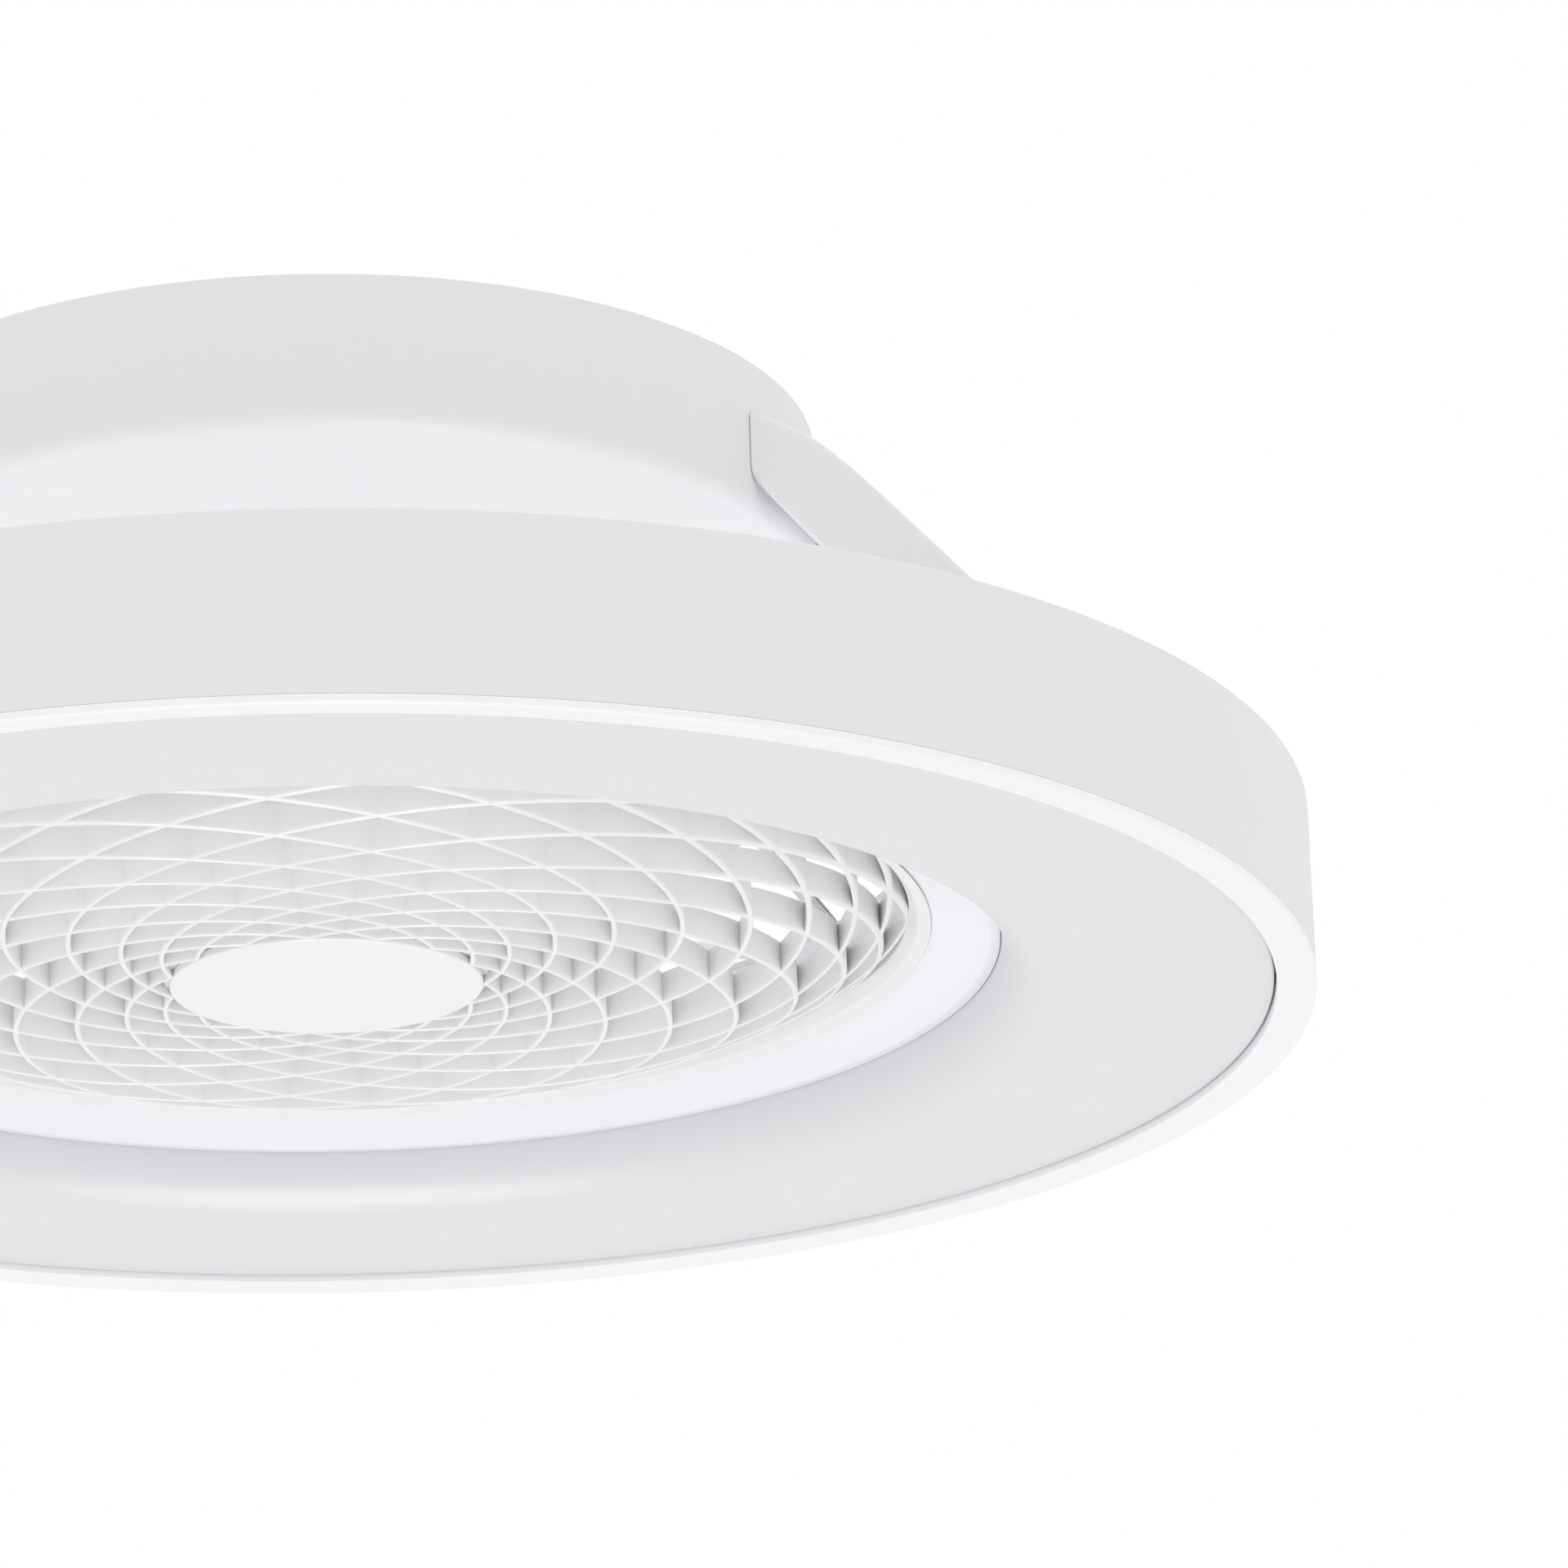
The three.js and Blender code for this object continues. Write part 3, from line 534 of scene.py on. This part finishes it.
def grille_underside(radius):
    """Height of the net's lower side: flat in the middle, then up along a parabola."""
    climb = np.maximum(radius - GRILLE_FLAT, 0) / (FIN_OUTER - GRILLE_FLAT)
    return GRILLE_LOW + GRILLE_RISE * climb**2


fin_section = rounded_outline(
    [
        (-FIN_HALF_LOW, 0, 0.8),
        (FIN_HALF_LOW, 0, 0.8),
        (FIN_HALF_TOP, FIN_DEPTH, 0.2),
        (-FIN_HALF_TOP, FIN_DEPTH, 0.2),
    ],
    steps=4,
)


def fin(start, hand):
    """One fin: its section carried along the spiral, upright and square to the path, and
    widened with the square of the share of the run."""
    share = np.linspace(0, 1, FIN_STEPS)
    radius = fin_radius(share)
    angle = start + hand * FIN_SWEEP * share
    path = np.stack([radius * np.cos(angle), radius * np.sin(angle)], 1)
    along = np.gradient(path, axis=0)
    along /= np.linalg.norm(along, axis=1, keepdims=True)
    square = np.stack([-along[:, 1], along[:, 0]], 1)
    widening = 1 + FIN_WIDENING * share**2
    across = fin_section[None, :, 0] * widening[:, None]
    plan = path[:, None] + square[:, None] * across[..., None]
    height = grille_underside(np.linalg.norm(plan, axis=2)) + fin_section[None, :, 1]
    return closed_tube(np.concatenate([plan, height[..., None] - CEILING], 2))


grille_radius = AIRWAY_RADIUS - GRILLE_GAP
ring_low = grille_underside(FIN_OUTER) - 0.6
ring_high = ring_low + FIN_DEPTH + 1
ring_outline = rounded_outline(
    [
        (grille_radius - RING_WALL, ring_low, 1.0),
        (grille_radius + 0.2, CONE_TOP - 0.7, 0.8),
        (grille_radius + RING_LIP, CONE_TOP - 2.3, 0.2),
        (grille_radius + RING_LIP, CONE_TOP - 1.8, 0.2),
        (grille_radius, CONE_TOP + 0.3, 0.2),
        (grille_radius, ring_high, 0.4),
        (grille_radius - RING_WALL, ring_high, 0.4),
    ]
)
hub_radius = CAP_RADIUS + 2
hub_low = GRILLE_LOW + 2.8
hub_high = GRILLE_LOW + FIN_DEPTH - 1
hub_plate = rounded_outline(
    [(0, hub_low, 0), (hub_radius, hub_low, 0.3), (hub_radius, hub_high, 0.3), (0, hub_high, 0)]
)
spacing = 2 * np.pi / FINS_PER_HAND
fins = [fin(i * spacing, hand) for i in range(FINS_PER_HAND) for hand in (1, -1)]
# Injection-moulded in a finely grained tool: satin, so that the fins' rounded lower edges
# shine evenly and their walls stay soft grey.
FIN_PLASTIC = moulded_or_coated("Satin white ABS", "#eeefef", 0.4, 1.5, 0.003)
net_shells = [*fins, turned(ring_outline), turned(hub_plate, around=120)]
solid("fin_net", net_shells, FIN_PLASTIC, "frame", ["grille"])

cap_low = GRILLE_LOW - 0.3
cap_high = GRILLE_LOW + 2.5
cap_outline = rounded_outline(
    [(0, cap_low, 0), (CAP_RADIUS, cap_low, 0.8), (CAP_RADIUS, cap_high, 0.2), (0, cap_high, 0)]
)
cap_shell = turned(cap_outline, around=160)
solid("net_cap", [cap_shell], FIN_PLASTIC, "frame", ["grille_cap"])

# ---------------------------------------------------------------------------------------
# Intake guard. Six ribs above the impeller join the round plate that the motor hangs on to a
# hoop, and six leaning posts stand the hoop on a seat ring on the duct's flange. It is coated
# steel bar, welded at every joint.
GUARD_RIBS = 6
GUARD_BAR = 5.0
GUARD_DEPTH = 4.0
GUARD_EDGE = 0.8
GUARD_TOP = 100.0
MOUNT_HOLE = 6.0
MOUNT_RADIUS = 64.0
HOOP_INNER = 168.0
HOOP_OUTER = 174.0
POST_INNER = 199.0
POST_OUTER = 205.0
SEAT_INNER = 197.5
SEAT_OUTER = 207.5
SEAT_LOW = 63.2


def edged_plate(outline, thickness, edge):
    """A flat plate upright in the X-height plane, with edges rounded by a quarter circle.

    Each row is the outline moved inwards along its own normals, at one place across.
    """
    around = np.roll(outline, -1, 0) - np.roll(outline, 1, 0)
    normal = np.stack([-around[:, 1], around[:, 0]], 1)
    inwards = normal / np.linalg.norm(around, axis=1, keepdims=True)
    turn = np.linspace(0, np.pi / 2, 4)
    half = thickness / 2 - edge + edge * np.cos(turn)
    across = np.concatenate([half, -half[::-1]])
    insets = edge * (1 - np.sin(turn))
    insets = np.concatenate([insets, insets[::-1]])
    flat = outline[None] + inwards[None] * insets[:, None, None]
    y = np.broadcast_to(across[:, None, None], flat.shape[:2] + (1,))
    return closed_tube(np.concatenate([flat[..., :1], y, flat[..., 1:] - CEILING], 2))


def about_axis(shell, angle):
    """The same shell turned about the fan's axis by an angle, anticlockwise seen from above."""
    points, faces = shell
    cos, sin = np.cos(angle), np.sin(angle)
    return points @ np.array([[cos, sin, 0], [-sin, cos, 0], [0, 0, 1]]), faces


def bar_ring(inner, outer, low, high, edge=GUARD_EDGE):
    """A hoop of rectangular bar with rounded edges."""
    corners = [(inner, low, edge), (outer, low, edge), (outer, high, edge), (inner, high, edge)]
    return turned(rounded_outline(corners), around=192)


guard_low = GUARD_TOP - GUARD_DEPTH
rib_inner = MOUNT_RADIUS - 1
rib_outer = HOOP_INNER + 1
rib_outline = rounded_outline(
    [
        (rib_inner, guard_low, 0.5),
        (rib_outer, guard_low, 0.5),
        (rib_outer, GUARD_TOP, 0.5),
        (rib_inner, GUARD_TOP, 0.5),
    ],
    steps=3,
)
post_low = SEAT_LOW + 2.5
post_high = guard_low + 0.5
post_outline = rounded_outline(
    [
        (POST_INNER, post_low, 0.5),
        (POST_OUTER, post_low, 0.5),
        (HOOP_OUTER, post_high, 0.5),
        (HOOP_INNER, post_high, 0.5),
    ],
    steps=3,
)
bars = [edged_plate(outline, GUARD_BAR, GUARD_EDGE) for outline in (rib_outline, post_outline)]
bar_angles = [(i + 0.5) * 2 * np.pi / GUARD_RIBS for i in range(GUARD_RIBS)]
guard_parts = [about_axis(bar, angle) for angle in bar_angles for bar in bars]
guard_parts += [
    bar_ring(MOUNT_HOLE, MOUNT_RADIUS, guard_low - 0.4, GUARD_TOP + 0.4, edge=1.0),
    bar_ring(HOOP_INNER, HOOP_OUTER, guard_low, GUARD_TOP),
    bar_ring(SEAT_INNER, SEAT_OUTER, SEAT_LOW, SEAT_LOW + 3),
]
guard_nodes = ["guard_plate", "guard_hoop", "guard_seat"]
guard_nodes += [f"guard_{bar}_{i + 1}" for i in range(GUARD_RIBS) for bar in ("rib", "post")]
solid("guard_cage", guard_parts, POWDER_COAT, "frame", guard_nodes)

# ---------------------------------------------------------------------------------------
# Motor. A zinc-plated can and end bell hang under the guard's plate. The shaft runs down
# through them to the impeller. Lathe-turned and pressed steel, lightly brushed all round.
MOTOR_RADIUS = 44.0
MOTOR_TOP = 95.3
MOTOR_LOW = 70.0
CAN_HOLE = 6.0
BELL_HOLE = 5.2
POCKET = 11.3
SHAFT_RADIUS = 4.0
SHAFT_LOW = 47.5
SHAFT_TOP = 91.5

motor_bore = MOTOR_RADIUS - THIN_WALL
can_low = MOTOR_LOW + 2.3
can_outline = rounded_outline(
    [
        (CAN_HOLE, MOTOR_TOP, 0.3),
        (MOTOR_RADIUS, MOTOR_TOP, 3),
        (MOTOR_RADIUS, can_low, 0.3),
        (motor_bore, can_low, 0.3),
        (motor_bore, MOTOR_TOP - THIN_WALL, 1.4),
        (CAN_HOLE, MOTOR_TOP - THIN_WALL, 0.3),
    ]
)
bell_top = MOTOR_LOW + 2
pocket_low = MOTOR_LOW - 3
pocket_floor = MOTOR_LOW - 1.4
bell_outline = rounded_outline(
    [
        (BELL_HOLE, pocket_low, 0.3),
        (POCKET + THIN_WALL, pocket_low, 1.2),
        (POCKET + THIN_WALL, MOTOR_LOW, 1.0),
        (MOTOR_RADIUS, MOTOR_LOW, 0.6),
        (MOTOR_RADIUS, bell_top, 0.4),
        (POCKET, bell_top, 0.4),
        (POCKET, pocket_floor, 0.3),
        (BELL_HOLE, pocket_floor, 0.3),
    ]
)
shaft_outline = rounded_outline(
    [
        (0, SHAFT_LOW, 0),
        (SHAFT_RADIUS, SHAFT_LOW, 0.6),
        (SHAFT_RADIUS, SHAFT_TOP, 0.6),
        (0, SHAFT_TOP, 0),
    ]
)
# Zinc plating gives a pale grey, slightly cloudy shine, and bare turned steel a darker and
# sharper one.
ZINC = moulded_or_coated("Zinc-plated steel", "#b9bcc0", 0.38, 6.0, 0.004, metal=0.9)
TURNED_STEEL = moulded_or_coated("Turned steel", "#9fa2a6", 0.3, 0.8, 0.003, metal=1.0)
solid("motor_cover", [turned(can_outline, around=128)], ZINC, "frame", ["motor_can"])
solid("motor_end", [turned(bell_outline, around=128)], ZINC, "frame", ["motor_end_bell"])
shaft_shell = turned(shaft_outline, around=64)
solid("turned_shaft", [shaft_shell], TURNED_STEEL, "rotor", ["motor_shaft"])

# ---------------------------------------------------------------------------------------
# Impeller. Seven twisted blades in satin white around a cup that hides the motor from
# below. Each blade is a thin cambered section, steep at the root and flat at the tip.
BLADES = 7
BLADE_TIP = 184.0
BLADE_LEVEL = 68.0
BLADE_HALF = 1.1
BLADE_CAMBER = 0.07
BLADE_CHORD = 50.0
CHORD_GAIN = 62.0
CHORD_TAPER = 34.0
BLADE_PITCH = 33.0
BLADE_TWIST = 19.0
BLADE_BOW = 14.0
BLADE_LEAN = 10.0
SPAN_STEPS = 33
LOOP_STEPS = 40
CUP_RADIUS = 58.0
CUP_LOW = 53.0
CUP_TOP = 88.0
CUP_WALL = 2.0
BOSS_HEIGHT = 12.0

boss_bore = SHAFT_RADIUS + 0.3
cup_floor = CUP_LOW + 2.4
cup_outline = rounded_outline(
    [
        (boss_bore, CUP_LOW, 0.2),
        (CUP_RADIUS, CUP_LOW, 5),
        (CUP_RADIUS, CUP_TOP, 0.8),
        (CUP_RADIUS - CUP_WALL, CUP_TOP, 0.8),
        (CUP_RADIUS - CUP_WALL, cup_floor, 3),
        (12, cup_floor, 1),
        (10, CUP_LOW + BOSS_HEIGHT, 0.8),
        (boss_bore, CUP_LOW + BOSS_HEIGHT, 0.2),
    ]
)


def blade():
    """One blade on a grid of span by section, in mm.

    The section is a flattened loop about a camber line: 7 percent of the chord high in the
    middle. Chord, pitch and sweep change along the span, and every section lies on a
    cylinder about the axis, so that the root follows the cup.
    """
    span = np.linspace(0, 1, SPAN_STEPS)[:, None]
    loop = np.linspace(0, 2 * np.pi, LOOP_STEPS, endpoint=False)[None]
    radius = CUP_RADIUS + 0.3 + (BLADE_TIP - CUP_RADIUS - 0.3) * span
    chord = BLADE_CHORD + CHORD_GAIN * span - CHORD_TAPER * span**3
    pitch = np.radians(BLADE_PITCH - BLADE_TWIST * span)
    sweep = BLADE_BOW * np.sin(np.pi * span) - BLADE_LEAN * span
    share = 0.5 * np.cos(loop)
    along = share * chord
    half = BLADE_HALF * np.sign(np.sin(loop)) * np.abs(np.sin(loop)) ** 0.5
    up = BLADE_CAMBER * chord * (1 - 4 * share**2) + half
    tangential = along * np.cos(pitch) - up * np.sin(pitch) + sweep
    height = BLADE_LEVEL + along * np.sin(pitch) + up * np.cos(pitch)
    reach = np.sqrt(radius**2 - tangential**2)
    return closed_tube(np.stack([reach, tangential, height - CEILING], -1))


# Moulded blades, a shade greyer than the net, with long soft highlights across the twist.
IMPELLER_PLASTIC = moulded_or_coated(
    "Satin white moulded blade plastic", "#e9e9e9", 0.45, 1.5, 0.004
)
cup_shell = turned(cup_outline, around=160)
solid("impeller_cup", [cup_shell], IMPELLER_PLASTIC, "rotor", ["impeller_hub"])
for i in range(BLADES):
    solid(
        f"twisted_blade_{i + 1}",
        [about_axis(blade(), i * 2 * np.pi / BLADES)],
        IMPELLER_PLASTIC,
        "rotor",
        [f"blade_{i + 1}"],
        crease=50,
    )

# ---------------------------------------------------------------------------------------
# Inner pieces. The ceiling plate, screws, electronics, lamp boards and the motor's inside
# keep the plain solids of the frame and only get their finishes. Laminations look dull and
# dark, the copper warm under its enamel, ferrite flat grey, boards and cases chalky white.
LAMINATION = moulded_or_coated("Electrical steel laminations", "#70757a", 0.5, 0.5, 0.02, metal=0.8)
COPPER = moulded_or_coated("Enamelled copper wire", "#b87440", 0.35, 0.6, 0.03, metal=0.9)
MAGNET = moulded_or_coated("Sintered ferrite", "#3b3d40", 0.55, 0.8, 0.01, metal=0.3)
BOARD = moulded_or_coated("White solder mask on aluminium", "#f0f0ea", 0.5, 2.0, 0.003)
CASE = moulded_or_coated("Matt white polycarbonate", "#dcdcd8", 0.6, 0.8, 0.01)
plain_finishes = {
    "ceiling_plate": ZINC,
    "stator_core": LAMINATION,
    "stator_winding": COPPER,
    "rotor_magnets": MAGNET,
    "led_driver": CASE,
    "fan_controller": CASE,
    "terminal_block": CASE,
}
for name, node in nodes.items():
    finish = plain_finishes.get(name, BOARD if name.startswith("led_board") else TURNED_STEEL)
    node.data.materials.clear()
    node.data.materials.append(finish)

# ---------------------------------------------------------------------------------------
# Studio. The fan hangs in plain soft light from all sides, stronger from below, with a pale
# floor far beneath. Seen straight by the camera, in a reflection or through glass, both the
# floor and the surroundings are plain white. The floor's sizes are metres.
FLOOR_DEPTH = 6.0
FLOOR_HALF = 3.0
LIGHT_LEVEL = 0.97
LIGHT_FROM_BELOW = 0.23

floor_corners = [(-1, -1), (1, -1), (1, 1), (-1, 1)]
floor_mesh = bpy.data.meshes.new("studio_floor")
floor_mesh.from_pydata(
    [(x * FLOOR_HALF, y * FLOOR_HALF, -FLOOR_DEPTH) for x, y in floor_corners], [], [(0, 1, 2, 3)]
)
floor = bpy.data.objects.new("studio_floor", floor_mesh)
bpy.context.scene.collection.objects.link(floor)
floor_paint = bpy.data.materials.new("Pale studio floor")
floor_paint.use_nodes = True
floor_shader = floor_paint.node_tree.nodes["Principled BSDF"]
floor_shader.inputs["Base Color"].default_value = linear("#f4f4f4")
floor_shader.inputs["Roughness"].default_value = 0.9


def seen_directly(owner):
    """1 for rays from the camera, a mirror or glass, and 0 for light that scatters."""
    path = add_node(owner, "ShaderNodeLightPath")
    either = path.outputs["Is Camera Ray"]
    for ray in ("Is Glossy Ray", "Is Transmission Ray"):
        sockets = {0: either, 1: path.outputs[ray]}
        larger = add_node(owner, "ShaderNodeMath", {"operation": "MAXIMUM"}, links=sockets)
        either = larger.outputs[0]
    return either


white = add_node(
    floor_paint, "ShaderNodeEmission", values={"Color": (1, 1, 1, 1), "Strength": 1.0}
)
floor_mix = add_node(
    floor_paint,
    "ShaderNodeMixShader",
    links={0: seen_directly(floor_paint), 1: floor_shader.outputs[0], 2: white.outputs[0]},
)
floor_surface = floor_paint.node_tree.nodes["Material Output"].inputs["Surface"]
floor_paint.node_tree.links.new(floor_mix.outputs[0], floor_surface)
floor_mesh.materials.append(floor_paint)

world = bpy.data.worlds.new("Studio light")
bpy.context.scene.world = world
world.use_nodes = True
upwards = add_node(
    world,
    "ShaderNodeSeparateXYZ",
    links={"Vector": add_node(world, "ShaderNodeTexCoord").outputs["Generated"]},
)
ramp = add_node(
    world,
    "ShaderNodeMapRange",
    values={
        "From Min": -1.0,
        "From Max": 1.0,
        "To Min": LIGHT_LEVEL + LIGHT_FROM_BELOW,
        "To Max": LIGHT_LEVEL - LIGHT_FROM_BELOW,
    },
    links={"Value": upwards.outputs["Z"]},
)
strength = add_node(
    world,
    "ShaderNodeMix",
    values={"B": 1.0},
    links={"Factor": seen_directly(world), "A": ramp.outputs["Result"]},
)
backdrop = world.node_tree.nodes["Background"]
backdrop.inputs["Color"].default_value = (1, 1, 1, 1)
world.node_tree.links.new(strength.outputs["Result"], backdrop.inputs["Strength"])
bpy.context.scene.view_settings.view_transform = "Standard"


def soft_light(name, width, depth, place, facing, radiance, gloss=False):
    """A soft oval light, in mm, that can't be seen itself. It gives either gloss alone or no
    gloss at all. Its watts are pi times its area times its radiance."""
    lamp = bpy.data.lights.new(name, "AREA")
    lamp.shape = "ELLIPSE"
    lamp.size = width * MM
    lamp.size_y = depth * MM
    lamp.energy = radiance * np.pi * np.pi / 4 * lamp.size * lamp.size_y
    light = bpy.data.objects.new(name, lamp)
    bpy.context.scene.collection.objects.link(light)
    light.location = Vector(place) * MM
    light.rotation_euler = Vector(facing).to_track_quat("-Z", "Y").to_euler()
    light.visible_camera = False
    light.visible_glossy = gloss
    light.visible_diffuse = not gloss


# A softbox far below gives gloss alone: its soft reflection runs along the opal shoulder. A
# light above the fan brightens the upper edges. The drum's underside, the blades and the
# hollows of the arms face narrow gaps, and get a weak fill of their own.
UP = (0, 0, 1)
DOWN = (0, 0, -1)
soft_light("softbox_below", 1600, 1600, (0, -250, -2400), UP, 6.5, gloss=True)
soft_light("light_above", 3000, 3000, (0, 0, 2500), DOWN, 1.0)
soft_light("fill_under_drum", 390, 390, (0, 0, -99.5), UP, 0.44)
soft_light("fill_under_blades", 360, 360, (0, 0, -153.5), UP, 0.3)
soft_light("fill_over_net", 376, 376, (0, 0, -152), DOWN, 0.08)
for side in (1, -1):
    soft_light(f"fill_in_arm_{side}", 170, 44, (190 * side, 0, -113.5), (-side, 0, 1.73), 1.6)

# ---------------------------------------------------------------------------------------
# Camera. It looks up at the fan from 2.65 m away and about a metre below the ceiling, with a
# long lens, turned to the right so that the lamp runs out of the picture on the left. Its
# place and aim are metres.
CAMERA_PLACE = Vector((0.0, -2.4988, -0.9725))
CAMERA_AIM = Vector((0.15288, 0.0, -0.11669))
CAMERA_ROLL = np.radians(-1.787)
CAMERA_LENS = 182.325
CAMERA_SENSOR = 36.0

lens = bpy.data.cameras.new("Camera")
lens.sensor_width = CAMERA_SENSOR
lens.lens = CAMERA_LENS
camera = bpy.data.objects.new("Camera", lens)
bpy.context.scene.collection.objects.link(camera)
camera.location = CAMERA_PLACE
upright = (CAMERA_AIM - CAMERA_PLACE).to_track_quat("-Z", "Y")
camera.rotation_euler = (upright @ Euler((0, 0, CAMERA_ROLL)).to_quaternion()).to_euler()
bpy.context.scene.camera = camera
